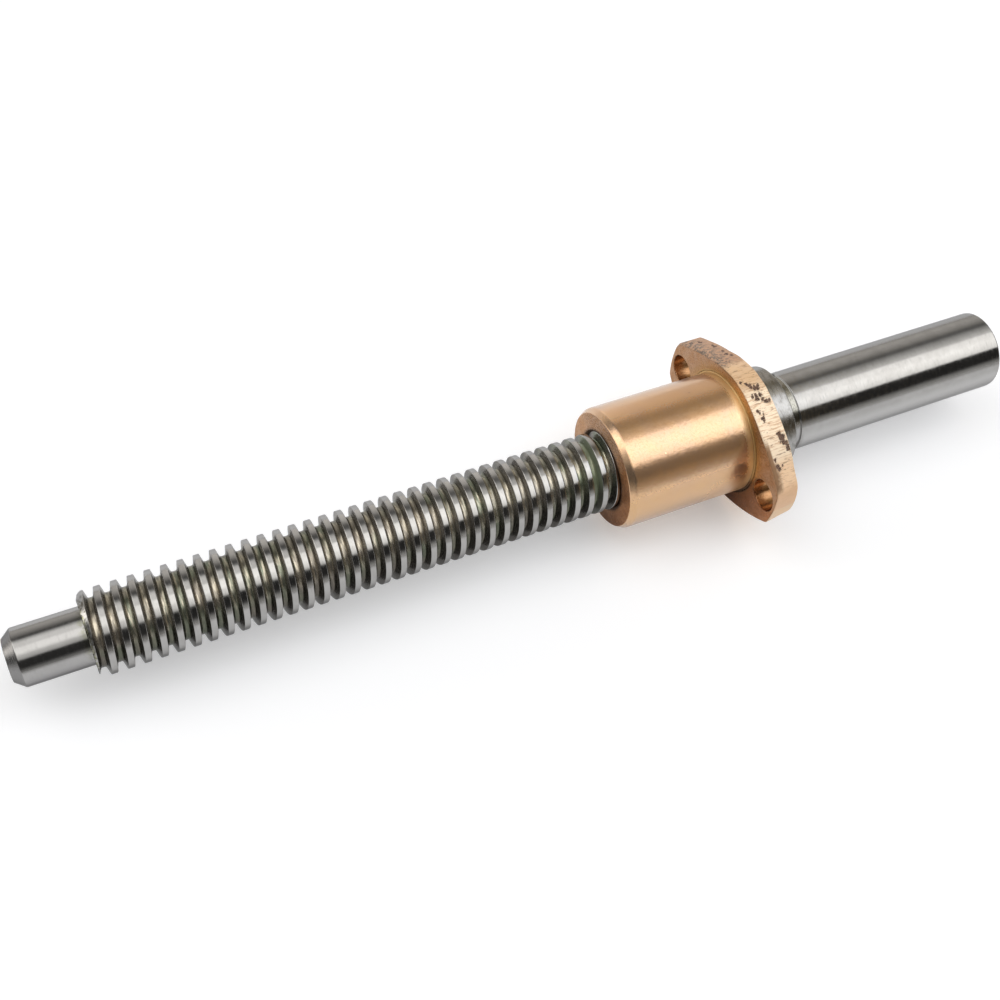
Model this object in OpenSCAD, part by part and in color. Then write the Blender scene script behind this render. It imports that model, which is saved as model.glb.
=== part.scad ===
// Left-hand lead screw with a two-hole flanged nut on its thread.
// The screw's axis runs along X, from the small journal (-X) to the plain shank (+X).
// X = 0 is the middle of its length. Z = 0 is the plane under the flange's flat.
// Heights below are measured along the axis from the shoulder where the thread starts.
// The nut stands at the collar end of its travel, and its thread is in mesh with the screw's.

/* [Thread] */
// Outside diameter of the screw's thread
thread_d = 15.86; // [14:0.02:18]
// Distance from one turn to the next
pitch = 3; // [2.4:0.1:4]
// Height of the thread, from root to crest
thread_h = 1.68; // [1.2:0.02:2]
// Width of the flat crest
crest_w = 1.1; // [0.7:0.05:1.3]
// Angle of each flank to the square
flank_a = 15; // [5:1:20]
// Length of the threaded stretch, from its shoulder to the run-out groove
thread_l = 132.3; // [110:0.1:160]
// Chamfer at the start of the thread
lead_c = 0.9; // [0.2:0.1:1.4]
// Clearance between the nut's thread and the screw's, at crest, root and flanks
thread_clear = 0.1; // [0.05:0.01:0.2]

/* [Screw ends] */
// Diameter of the journal before the thread
journal_d = 10.85; // [8:0.05:12]
// Length of the journal
journal_l = 13.8; // [8:0.1:25]
// Length of the journal's end chamfer
journal_c_l = 1.85; // [0.5:0.05:3]
// Height of the journal's end chamfer
journal_c_r = 1.5; // [0.5:0.05:2.5]
// Width of the groove in which the thread runs out
runout_w = 3; // [2:0.1:5]
// Diameter of the collar
collar_d = 21.5; // [19:0.1:26]
// Width of the collar
collar_w = 5.45; // [3:0.05:10]
// Break on the collar's edges
collar_c = 0.3; // [0.1:0.05:0.6]
// Width of the relief between collar and shank
relief_w = 2.9; // [1:0.1:5]
// Depth of the relief under the shank
relief_h = 0.3; // [0.1:0.05:0.8]
// Diameter of the shank
shank_d = 16.6; // [13:0.1:18]
// Length of the shank past the relief
shank_l = 50.45; // [20:0.05:90]
// Chamfer on the shank's end
shank_c = 0.5; // [0.2:0.1:1.5]

/* [Nut] */
// Diameter of the nut's barrel
barrel_d = 24.9; // [22:0.1:27]
// Length of the barrel, up to the flange
barrel_l = 27.7; // [18:0.1:45]
// Break on the barrel's front edge
barrel_c = 0.35; // [0.1:0.05:0.8]
// Radius of the corner between barrel and flange
root_fillet = 0.6; // [0.2:0.1:1]
// Countersink past the nut's thread at each mouth
mouth_c = 0.25; // [0.1:0.05:0.5]
// Gap between the nut and the collar
stop_gap = 0.35; // [0.2:0.05:1]

/* [Flange] */
// Thickness of the flange
flange_t = 5.2; // [3:0.1:8]
// Diameter across the flange's two round ends
flange_d = 42.3; // [41:0.1:50]
// Width across the flange's two small flats
flange_w = 29.7; // [27:0.1:32]
// Radius of the flange's bowed sides
side_r = 43.6; // [40:0.1:60]
// Turn of each bowed side away from the long axis
side_a = 17.6; // [12:0.1:20]
// Metal left between each bolt hole and the flange's round end. The hole fills the rest.
hole_rim = 0.85; // [0.5:0.05:2]
// Metal left between each bolt hole and the barrel
hole_gap = 1.25; // [0.8:0.05:2.5]

/* [Hidden] */

N = 24;                 // steps in one turn of a thread
hand = -1;              // -1 is a left-hand thread
start_a = 30;           // a crest stands at this angle from +Y towards +Z ...
start_z = 1;            // ... this far past the shoulder
crest_r = thread_d / 2;
root_r = crest_r - thread_h;
collar_z = thread_l + runout_w;
relief_z = collar_z + collar_w;
shank_z = relief_z + relief_w;
end_z = shank_z + shank_l;
flange_z = collar_z - stop_gap - flange_t;
barrel_z = flange_z - barrel_l;
hole_d = flange_d / 2 - hole_rim - barrel_d / 2 - hole_gap;
hole_at = barrel_d / 2 + hole_gap + hole_d / 2;
axis_z = flange_w / 2;
mid_z = (end_z - journal_l) / 2;

// Lays the axis, drawn along Z, on X: the drawing's X is then Y, and its Y is Z.
module on_axis() { translate([-mid_z, 0, axis_z]) rotate([90, 0, 90]) children(); }

// A solid of trapezium turns between z0 and z1. Each step holds the four corners of one
// turn, and the root between two turns joins a step to the one a full turn further on.
// grow moves every wall outwards, which makes the tap for the nut.
module helix(z0, z1, grow = 0) {
    rc = crest_r + grow;
    rr = root_r + grow;
    half = crest_w / 2 + grow * (1 / cos(flank_a) - tan(flank_a));
    foot = half + (rc - rr) * tan(flank_a);
    first = floor((z0 - start_z) / pitch) - 1;
    last = ceil((z1 - start_z) / pitch) + 1;
    M = (last - first) * N;
    sec = [[-foot, rr], [-half, rc], [half, rc], [foot, rr]];
    function at(j, dz, r) = let (a = start_a + hand * 360 * j / N)
        [r * cos(a), r * sin(a), start_z + first * pitch + j * pitch / N + dz];
    pts = concat(
        [for (j = [0:M]) for (s = sec) at(j, s[0], s[1])],
        [[0, 0, at(0, -foot, 0)[2]], [0, 0, at(M, foot, 0)[2]]]);
    c0 = 4 * (M + 1);
    c1 = c0 + 1;
    tri = concat(
        [for (j = [0:M - 1]) for (k = [0:2]) each
            [[4 * j + k, 4 * j + k + 1, 4 * j + k + 5], [4 * j + k, 4 * j + k + 5, 4 * j + k + 4]]],
        [for (j = [0:M - N - 1]) each
            [[4 * j + 3, 4 * (j + N), 4 * (j + N + 1)], [4 * j + 3, 4 * (j + N + 1), 4 * j + 7]]],
        [for (j = [0:N - 1]) [c0, 4 * j, 4 * j + 4]],
        [for (j = [M - N:M - 1]) [c1, 4 * j + 7, 4 * j + 3]],
        [[c0, 4 * N, 3, 2, 1, 0]],
        [[c1, 4 * (M - N) + 3, 4 * M, 4 * M + 1, 4 * M + 2, 4 * M + 3]]);
    polyhedron(pts, [for (t = tri) hand > 0 ? t : [for (i = [len(t) - 1:-1:0]) t[i]]]);
}

// The screw's own thread, cut square at both ends, with the lead chamfer at the shoulder.
module screw_thread() {
    intersection() {
        helix(0, thread_l);
        rotate_extrude($fn = 96) polygon([
            [0, 0], [crest_r - lead_c, 0], [crest_r + 0.2, lead_c + 0.2],
            [crest_r + 0.2, thread_l], [0, thread_l]]);
    }
}

module lead_screw() {
    color([0.66, 0.66, 0.65]) on_axis() {
        screw_thread();
        // Journal, turned down from the shoulder
        rotate_extrude($fn = 96) polygon([
            [0, -journal_l], [journal_d / 2 - journal_c_r, -journal_l],
            [journal_d / 2, -journal_l + journal_c_l], [journal_d / 2, 0],
            [journal_d / 2, 0.5], [0, 0.5]]);
        // Run-out groove, collar, relief and shank
        rotate_extrude($fn = 96) polygon([
            [0, thread_l - 0.5], [root_r - 0.4, thread_l - 0.5], [root_r - 0.4, thread_l],
            [root_r - 0.1, thread_l], [root_r - 0.1, collar_z],
            [collar_d / 2 - collar_c, collar_z], [collar_d / 2, collar_z + collar_c],
            [collar_d / 2, relief_z - collar_c], [collar_d / 2 - collar_c, relief_z],
            [shank_d / 2 - relief_h, relief_z], [shank_d / 2 - relief_h, shank_z - relief_h],
            [shank_d / 2, shank_z], [shank_d / 2, end_z - shank_c],
            [shank_d / 2 - shank_c, end_z], [0, end_z]]);
    }
}

// Outline of the flange: a turned disc, two bowed sides cut from each long edge and a
// small flat left where they meet.
module flange_outline() {
    intersection() {
        circle(d = flange_d, $fn = 120);
        bowed_sides();
        square([flange_d + 2, flange_w], center = true);
    }
}

module bowed_sides() {
    off = side_r - flange_w / 2;
    intersection_for(sx = [-1, 1]) intersection_for(sy = [-1, 1])
        translate([sx * off * sin(side_a), sy * off * cos(side_a)]) circle(r = side_r, $fn = 240);
}

module flanged_nut() {
    mouth_r = crest_r + thread_clear + mouth_c;
    end = flange_z + flange_t;
    color([0.80, 0.58, 0.34]) on_axis() difference() {
        union() {
            translate([0, 0, flange_z]) linear_extrude(flange_t) flange_outline();
            // Barrel, with its front edge broken and a small fillet at the flange
            rotate_extrude($fn = 96) difference() {
                polygon([
                    [0, barrel_z], [barrel_d / 2 - barrel_c, barrel_z],
                    [barrel_d / 2, barrel_z + barrel_c], [barrel_d / 2, flange_z - root_fillet],
                    [barrel_d / 2 + root_fillet, flange_z - root_fillet],
                    [barrel_d / 2 + root_fillet, flange_z + 0.5], [0, flange_z + 0.5]]);
                translate([barrel_d / 2 + root_fillet, flange_z - root_fillet])
                    circle(r = root_fillet, $fn = 32);
            }
        }
        // Threaded bore, countersunk at both mouths
        helix(barrel_z, end, thread_clear);
        for (m = [[barrel_z, 0], [end, 1]]) translate([0, 0, m[0]]) mirror([0, 0, m[1]])
            translate([0, 0, -0.01])
                cylinder(h = mouth_r - root_r, r1 = mouth_r, r2 = root_r, $fn = 96);
        // Two bolt holes
        for (sx = [-1, 1]) translate([sx * hole_at, 0, flange_z - 1])
            cylinder(h = flange_t + 2, d = hole_d, $fn = 48);
    }
}

lead_screw();
flanged_nut();
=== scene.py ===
"""Lead screw with a flanged nut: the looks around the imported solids. Lengths are in millimetres."""

import math
from collections import namedtuple

import bmesh
import bpy
import numpy as np
from mathutils import Euler, Matrix, Vector
from mathutils.geometry import delaunay_2d_cdt


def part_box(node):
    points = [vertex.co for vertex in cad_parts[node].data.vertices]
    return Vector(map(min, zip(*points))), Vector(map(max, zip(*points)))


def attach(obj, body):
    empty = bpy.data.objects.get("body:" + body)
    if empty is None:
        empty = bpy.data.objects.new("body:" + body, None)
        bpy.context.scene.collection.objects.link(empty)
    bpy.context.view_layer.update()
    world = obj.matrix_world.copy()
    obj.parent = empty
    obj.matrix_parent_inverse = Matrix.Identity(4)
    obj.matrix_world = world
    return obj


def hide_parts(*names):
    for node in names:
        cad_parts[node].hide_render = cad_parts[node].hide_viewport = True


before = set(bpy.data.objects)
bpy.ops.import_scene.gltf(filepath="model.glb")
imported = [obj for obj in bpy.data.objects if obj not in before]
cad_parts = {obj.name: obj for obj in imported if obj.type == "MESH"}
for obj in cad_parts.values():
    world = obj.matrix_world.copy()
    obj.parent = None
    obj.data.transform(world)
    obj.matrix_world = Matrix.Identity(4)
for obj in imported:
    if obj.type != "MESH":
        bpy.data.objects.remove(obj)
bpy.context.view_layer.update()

MM = 0.001                                  # one millimetre in metres

# ---------------------------------------------------------------- places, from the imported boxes
screw_low, screw_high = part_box("lead_screw")
nut_low, nut_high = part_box("flanged_nut")
AXIS_Z = (nut_low.z + nut_high.z) / 2 / MM
X_START = screw_low.x / MM                  # the journal's end
X_END = screw_high.x / MM                   # the shank's end
NUT_FRONT = nut_low.x / MM
NUT_BACK = nut_high.x / MM

# ---------------------------------------------------------------- sizes of the solids
PITCH = 3.0
FLANK_A = math.radians(15)
START_A = 30.0                              # a crest stands at this angle in degrees ...
START_X = 1.0                               # ... this far past the shoulder
CREST_R = 7.93
ROOT_R = 6.25
CREST_HALF = 0.55
SHOULDER = X_START + 13.8
THREAD_END = SHOULDER + 132.3
GROOVE_DROP = 0.1                           # depth of the run-out groove under the thread's root
COLLAR = THREAD_END + 3.0
RELIEF = COLLAR + 5.45
RELIEF_H = 0.3                              # depth of the relief under the shank
SHANK = RELIEF + 2.9
JOURNAL_R = 5.425
JOURNAL_C_L = 1.85                          # length of the journal's end chamfer
JOURNAL_C_R = 1.5                           # and its height
COLLAR_R = 10.75
SHANK_R = 8.3
BARREL_R = 12.45
FLANGE_T = 5.2
FLANGE_FRONT = NUT_BACK - FLANGE_T
FLANGE_R = 21.15
FLANGE_HALF = 14.85
SIDE_R = 43.6
SIDE_A = math.radians(17.6)
HOLE_AT = 17.0
HOLE_R = 3.3
CLEAR = 0.1
MOUTH_R = CREST_R + CLEAR + 0.25

# ---------------------------------------------------------------- small forms, drawn here alone
DIMPLE_L = 1.1                              # centre-drilled dimple in each end of the screw
DIMPLE_R = 1.25
DIMPLE_FLAT = 0.5
LEAD_DROP = 0.78                            # the lead chamfer: its depth at the shoulder and its slope
LEAD_SLOPE = 0.73
LIP_L = 0.14                                # the short slope up to the shank
BARREL_EDGE_L = 1.2                         # the barrel's softened front edge
BARREL_EDGE_R = 0.68
BARREL_FILLET = 0.3                         # the corner between barrel and flange
BEVEL_W = 0.16                              # the break on the flange's edges
HOLE_EDGE = 0.15                            # the break on the holes' front edges

# ---------------------------------------------------------------- steps
SCREW_TURN = 96
NUT_TURN = 128
HOLE_TURN = 64
EDGE_STEPS = 26
OUTLINE_STEPS = 420

BARREL_SLOT, SAWN_SLOT, FACED_SLOT = 0, 1, 2   # the nut's material slots


# ---------------------------------------------------------------- mesh helpers
def rounded(points, radii, steps=3):
    """The polyline through points, with the corner at each inner point rounded to its radius."""
    out = [points[0]]
    for i in range(1, len(points) - 1):
        p, a, b = np.array(points[i]), np.array(points[i - 1]), np.array(points[i + 1])
        r = radii[i]
        if r <= 0:
            out.append(tuple(p))
            continue
        ua, ub = (a - p) / np.linalg.norm(a - p), (b - p) / np.linalg.norm(b - p)
        half = math.acos(max(-1, min(1, float(ua @ ub)))) / 2
        cut = r / math.tan(half)
        mid = (ua + ub) / np.linalg.norm(ua + ub)
        centre = p + mid * r / math.sin(half)
        start, end = p + ua * cut - centre, p + ub * cut - centre
        for k in range(steps + 1):
            d = start * (1 - k / steps) + end * (k / steps)
            out.append(tuple(centre + d / np.linalg.norm(d) * r))
    out.append(points[-1])
    return out


def thread_profile(grow, crest_round, root_round):
    """One pitch of thread as (distance from the crest's middle, radius), from one root's middle on."""
    t = math.tan(FLANK_A)
    half = CREST_HALF + grow * (1 / math.cos(FLANK_A) - t)
    foot = half + (CREST_R - ROOT_R) * t
    rc, rr = CREST_R + grow, ROOT_R + grow
    corners = [(-PITCH / 2, rr), (-foot, rr), (-half, rc), (half, rc), (foot, rr), (PITCH / 2, rr)]
    line = rounded(corners, [0, root_round, crest_round, crest_round, root_round, 0], 2)[:-1]
    flat = [i for i in range(len(line) - 1) if line[i][0] < 0 < line[i + 1][0]][0]
    a, b = line[flat], line[flat + 1]
    extra = [(a[0] + (b[0] - a[0]) * f, a[1]) for f in (0.2, 0.5, 0.8)]
    return line[:flat + 1] + extra + line[flat + 1:]


class Surface:
    """Vertices in millimetres and faces, gathered into one mesh."""

    def __init__(self):
        self.verts, self.faces = [], []

    def add(self, p):
        self.verts.append(tuple(float(c) for c in p))
        return len(self.verts) - 1

    def face(self, ids):
        clean = []
        for i in ids:
            if not clean or clean[-1] != i:
                clean.append(i)
        if len(clean) > 1 and clean[0] == clean[-1]:
            clean.pop()
        if len(set(clean)) >= 3:
            self.faces.append(clean)

    def ring(self, x, r, n, y=0.0):
        """n points at x, round the axis or round a line beside it at y."""
        out = []
        for j in range(n):
            a = 2 * math.pi * j / n
            out.append(self.add((x, y + r * math.cos(a), AXIS_Z + r * math.sin(a))))
        return out

    def strip(self, low, high, flip=False):
        """Quads between two closed rings of the same length."""
        n = len(low)
        for j in range(n):
            quad = [low[j], low[(j + 1) % n], high[(j + 1) % n], high[j]]
            self.face(quad[::-1] if flip else quad)

    def turned(self, line, n, flip=False):
        """Turns the polyline of (x, radius) round the axis. Returns its first and last rings."""
        rings = []
        for x, r in line:
            if r <= 1e-9:
                rings.append([self.add((x, 0, AXIS_Z))] * n)
            else:
                rings.append(self.ring(x, r, n))
        for a, b in zip(rings, rings[1:]):
            self.strip(a, b, flip)
        return rings[0], rings[-1]

    def threaded(self, profile, n, x0, x1, limit, flip=False):
        """The left-hand thread between the planes x0 and x1. Returns the rings on those planes.

        Strand k runs on round the axis. After a full turn it has moved on by a whole profile.
        """
        count = len(profile)
        near = 0.004                            # a point this near to an end plane joins its ring
        spare = 4                               # turns past the planes, so that each strand spans both
        first = int((x0 - SHOULDER) / PITCH) - spare
        last = int((x1 - SHOULDER) / PITCH) + spare
        s_of = np.array([s for s, _ in profile] + [profile[0][0] + PITCH])
        r_of = np.array([r for _, r in profile] + [profile[0][1]])
        ids = []
        for j in range(n):
            a = 360.0 * j / n
            centre = SHOULDER + START_X - PITCH * (a - START_A) / 360.0
            column = {}
            ca, sa = math.cos(math.radians(a)), math.sin(math.radians(a))

            def point(x):
                s = (x - centre + PITCH / 2) % PITCH - PITCH / 2
                return limit(x, float(np.interp(s, s_of, r_of)))

            ends = []
            for x in (x0, x1):
                r = point(x)
                ends.append(self.add((x, r * ca, AXIS_Z + r * sa)))
            for k in range(first * count, last * count):
                s, r = profile[k % count]
                x = centre + PITCH * (k // count) + s
                if x <= x0 + near:
                    column[k] = ends[0]
                elif x >= x1 - near:
                    column[k] = ends[1]
                else:
                    r = limit(x, r)
                    column[k] = self.add((x, r * ca, AXIS_Z + r * sa))
            ids.append((column, ends))
        for j in range(n):
            here, there = ids[j][0], ids[(j + 1) % n][0]
            shift = count if j == n - 1 else 0     # a full turn moves the strand on by one pitch
            for k in range(first * count, last * count - 1):
                q = [here[k], there.get(k - shift), there.get(k - shift + 1), here[k + 1]]
                if None in q:
                    continue
                self.face(q[::-1] if flip else q)
        return [e[0] for _, e in ids], [e[1] for _, e in ids]

    def plate(self, loops, facing):
        """A flat face between an outer loop and inner ones, which are rings of vertex numbers."""
        ids = [i for loop in loops for i in loop]
        flat = [Vector((self.verts[i][1], self.verts[i][2])) for i in ids]
        edges, at = [], 0
        for loop in loops:
            m = len(loop)
            edges += [(at + i, at + (i + 1) % m) for i in range(m)]
            at += m
        _, _, tris, orig, _, _ = delaunay_2d_cdt(flat, edges, [], 0, 1e-7)
        outer = [self.verts[i][1:] for i in loops[0]]
        holes = [[self.verts[i][1:] for i in loop] for loop in loops[1:]]
        for t in tris:
            t = [orig[v][0] for v in t]
            c = sum((flat[v] for v in t), Vector((0, 0))) / 3
            if not inside(c, outer) or any(inside(c, h) for h in holes):
                continue
            a, b, d = (flat[v] for v in t)
            up = (b - a).cross(d - a) > 0
            self.face([ids[v] for v in (t if up == (facing > 0) else t[::-1])])

    def object(self, name):
        """Makes the object. Vertices that no face uses are left out, and kept lists the others."""
        mesh = bpy.data.meshes.new(name)
        mesh.from_pydata([[c * MM for c in v] for v in self.verts], [], self.faces)
        used = np.zeros(len(mesh.vertices), bool)
        used[np.array([l.vertex_index for l in mesh.loops])] = True
        if not used.all():
            bm = bmesh.new()
            bm.from_mesh(mesh)
            bm.verts.ensure_lookup_table()
            bmesh.ops.delete(bm, geom=[bm.verts[i] for i in np.nonzero(~used)[0]], context="VERTS")
            bm.to_mesh(mesh)
            bm.free()
        self.kept = np.nonzero(used)[0]
        weigh_normals(mesh)
        obj = bpy.data.objects.new(name, mesh)
        bpy.context.scene.collection.objects.link(obj)
        return obj


def inside(p, loop):
    """Whether the point lies in the closed outline."""
    x, y = p[0], p[1]
    hit = False
    for (x0, y0), (x1, y1) in zip(loop, loop[1:] + loop[:1]):
        if (y0 > y) != (y1 > y) and x < (x1 - x0) * (y - y0) / (y1 - y0) + x0:
            hit = not hit
    return hit


def weigh_normals(mesh):
    """Smooth shading in which the large faces set the direction, so flats stay flat and small rounds turn."""
    count = len(mesh.polygons)
    mesh.polygons.foreach_set("use_smooth", np.ones(count, bool))
    square = 1e8                                # brings the tiny areas, in square metres, near 1
    normal = np.zeros(count * 3)
    area = np.zeros(count)
    mesh.polygons.foreach_get("normal", normal)
    mesh.polygons.foreach_get("area", area)
    normal = normal.reshape(-1, 3)
    total = np.zeros(count, int)
    mesh.polygons.foreach_get("loop_total", total)
    vertex = np.zeros(len(mesh.loops), int)
    mesh.loops.foreach_get("vertex_index", vertex)
    owner = np.repeat(np.arange(count), total)
    share = np.zeros((len(mesh.vertices), 3))
    np.add.at(share, vertex, normal[owner] * (area[owner, None] * square) ** 2)
    length = np.linalg.norm(share, axis=1, keepdims=True)
    share /= np.where(length > 0, length, 1)
    mesh.normals_split_custom_set_from_vertices([tuple(v) for v in share])


# ---------------------------------------------------------------- the screw
def make_screw():
    """The journal, the thread, and the collar with the shank, joined into one surface."""
    s = Surface()
    apart = 0.001                               # keeps the turned parts' rings off the thread's own
    left = rounded(
        [(X_START + DIMPLE_L, 0), (X_START + DIMPLE_L, DIMPLE_FLAT), (X_START, DIMPLE_R),
         (X_START, JOURNAL_R - JOURNAL_C_R), (X_START + JOURNAL_C_L, JOURNAL_R),
         (SHOULDER - apart, JOURNAL_R)],
        [0, 0.1, 0.06, 0.25, 0.45, 0])
    _, inner = s.turned(left, SCREW_TURN, True)
    lead, tail = s.threaded(
        thread_profile(0, 0.11, 0.34), SCREW_TURN, SHOULDER, THREAD_END,
        lambda x, r: min(r, CREST_R - LEAD_DROP + LEAD_SLOPE * (x - SHOULDER)), True)
    s.strip(inner, lead, True)
    groove_r, relief_r = ROOT_R - GROOVE_DROP, SHANK_R - RELIEF_H
    right = rounded(
        [(THREAD_END + apart, groove_r), (COLLAR, groove_r), (COLLAR, COLLAR_R), (RELIEF, COLLAR_R),
         (RELIEF, relief_r), (SHANK - LIP_L, relief_r), (SHANK, SHANK_R), (X_END, SHANK_R),
         (X_END, DIMPLE_R), (X_END - DIMPLE_L, DIMPLE_FLAT), (X_END - DIMPLE_L, 0)],
        [0, 0.3, 0.25, 0.25, 0.2, 0.1, 0.08, 0.45, 0.06, 0.1, 0])
    first, _ = s.turned(right, SCREW_TURN, True)
    s.strip(tail, first, True)
    return s.object("screw")


# ---------------------------------------------------------------- the nut
def bump(value, low, high):
    """0 below low, 1 above high, smooth between."""
    t = min(max((value - low) / (high - low), 0), 1)
    return t * t * (3 - 2 * t)


def flange_reach(a):
    """Distance from the axis to the flange's outline in the direction a, with slightly rounded corners."""
    c, d = math.cos(a), math.sin(a)
    reach = [FLANGE_R]
    if abs(d) > 1e-6:
        reach.append(FLANGE_HALF / abs(d))
    off = SIDE_R - FLANGE_HALF
    for sx in (-1, 1):
        for sy in (-1, 1):
            px, py = sx * off * math.sin(SIDE_A), sy * off * math.cos(SIDE_A)
            b = c * px + d * py
            reach.append(b + math.sqrt(b * b - px * px - py * py + SIDE_R ** 2))
    low = min(reach)
    turn = math.degrees(a) % 360
    hard = 9 - 6 * bump(turn, 138, 156) * (1 - bump(turn, 172, 182))   # softer on the near lobe
    return low - math.log(sum(math.exp(-hard * (r - low)) for r in reach)) / hard


def outline(n):
    """n directions that divide the flange's outline into equal lengths."""
    fine = np.linspace(0, 2 * math.pi, 7201)
    rho = np.array([flange_reach(a) for a in fine])
    x, y = rho * np.cos(fine), rho * np.sin(fine)
    run = np.concatenate([[0], np.cumsum(np.hypot(np.diff(x), np.diff(y)))])
    at = np.linspace(0, run[-1], n, endpoint=False)
    return np.interp(at, run, fine)


# Casting pits in the flange's edge: turn in degrees, place across the edge from its front,
# length round, width across, depth
PITS = [
    (88.6, 0.75, 0.9, 0.22, 0.20), (91.0, 1.55, 0.9, 0.30, 0.30), (93.8, 2.10, 1.0, 0.40, 0.40),
    (96.6, 3.05, 1.3, 0.62, 0.55), (95.0, 3.75, 0.7, 0.25, 0.25), (102.6, 1.45, 0.9, 0.28, 0.25),
    (103.8, 2.25, 1.1, 0.42, 0.40), (103.0, 3.20, 0.9, 0.40, 0.40), (106.6, 3.30, 0.8, 0.30, 0.30),
    (108.4, 3.75, 0.9, 0.38, 0.35), (109.4, 4.45, 0.7, 0.25, 0.25), (115.6, 1.25, 0.9, 0.30, 0.10),
    (120.4, 1.35, 0.5, 0.18, 0.12), (121.8, 1.85, 0.9, 0.34, 0.28), (118.0, 2.1, 0.5, 0.18, 0.10),
    (136.0, 3.75, 1.1, 0.45, 0.45), (138.0, 4.10, 1.6, 0.55, 0.55), (141.4, 4.40, 1.5, 0.50, 0.50),
    (144.4, 4.75, 1.3, 0.40, 0.40), (149.6, 1.15, 0.7, 0.24, 0.22), (153.8, 1.35, 0.9, 0.34, 0.30),
    (155.0, 1.80, 0.8, 0.28, 0.25), (154.0, 2.45, 0.5, 0.18, 0.15), (19.8, 1.5, 0.9, 0.3, 0.15),
    (21.5, 3.1, 1.2, 0.4, 0.18), (33.0, 3.9, 1.2, 0.4, 0.18), (44.0, 4.0, 1.0, 0.3, 0.15),
    (50.0, 3.7, 1.2, 0.4, 0.2), (54.5, 4.2, 1.0, 0.35, 0.2)]


def pit(turn, depth, rho):
    """How deep a pit is at this turn in degrees and place across the edge, as (millimetres, share)."""
    deep, share = 0.0, 0.0
    for at, across, length, width, low in PITS:
        u = math.radians((turn - at + 180) % 360 - 180) * rho
        v = depth - across
        if abs(u) > 3 * length or abs(v) > 3 * width:
            continue
        wave = 0.22 * math.sin(5.3 * u + 3.1 * at) + 0.2 * math.sin(7.7 * v + 1.7 * at + 2.9 * u)
        d = math.hypot(u / (0.75 * length), v / (1.35 * width)) + wave
        k = 1 - bump(d, 0.3, 1.25)
        deep, share = max(deep, 0.4 * low * k), max(share, k)
    return deep, share


def edge_inset(turn, t):
    """How far the edge leans inside the outline, at share t of the thickness."""
    turn %= 360
    lean = 0.42 * bump(turn, 144, 160) * (1 - bump(turn, 200, 214))
    lean += 0.55 * math.exp(-((turn - 163) / 10) ** 2) + 0.6 * math.exp(-((turn - 197) / 6) ** 2)
    lean += 0.35 * bump(turn, 12, 24) * (1 - bump(turn, 44, 60))
    return lean * t


def worn_corner(turn, depth):
    """How far the front corner is rounded off at this depth: much on the upper flank, less on the near."""
    turn %= 360
    wear = 0.05 + 0.85 * bump(turn, 6, 18) * (1 - bump(turn, 46, 60))
    wear += 0.40 * bump(turn, 116, 132) * (1 - bump(turn, 160, 172))
    if depth >= wear:
        return 0.0
    return wear * (1 - math.sqrt(max(0.0, 1 - ((wear - depth) / wear) ** 2))) * 0.8


def flange_edge(s):
    """The flange's edge, from front to back. Returns its rings and each vertex's share of a pit."""
    turns = outline(OUTLINE_STEPS)
    reach = np.array([flange_reach(a) for a in turns])
    mid = BEVEL_W * 0.3                         # halfway round the bevel's corner
    rows = [(0.0, BEVEL_W), (mid, mid)]
    rows += [(BEVEL_W + (FLANGE_T - 2 * BEVEL_W) * k / EDGE_STEPS, 0.0) for k in range(EDGE_STEPS + 1)]
    rows += [(FLANGE_T - mid, mid), (FLANGE_T, BEVEL_W)]
    rings, marks = [], {}
    for depth, inset in rows:
        ring = []
        for a, r in zip(turns, reach):
            turn = math.degrees(a)
            deep, share = pit(turn, depth, r) if BEVEL_W <= depth <= FLANGE_T - BEVEL_W else (0.0, 0.0)
            worn = worn_corner(turn, max(depth, 0.03))
            q = r - max(inset, worn) - edge_inset(turn, depth / FLANGE_T) - deep
            ring.append(s.add((FLANGE_FRONT + depth, q * math.cos(a), AXIS_Z + q * math.sin(a))))
            marks[ring[-1]] = share
        rings.append(ring)
    for a, b in zip(rings, rings[1:]):
        s.strip(a, b, True)
    return rings, marks


def bolt_hole(s, side):
    """One hole's wall, from its front ring to its back ring."""
    rows = [(0, HOLE_EDGE), (0.05, 0.05), (HOLE_EDGE, 0), (FLANGE_T / 2, 0), (FLANGE_T - 0.08, 0),
            (FLANGE_T, 0.06)]
    rings = [s.ring(FLANGE_FRONT + depth, HOLE_R + grow, HOLE_TURN, side * HOLE_AT) for depth, grow in rows]
    for a, b in zip(rings, rings[1:]):
        s.strip(a, b)
    return rings[0], rings[-1]


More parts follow.
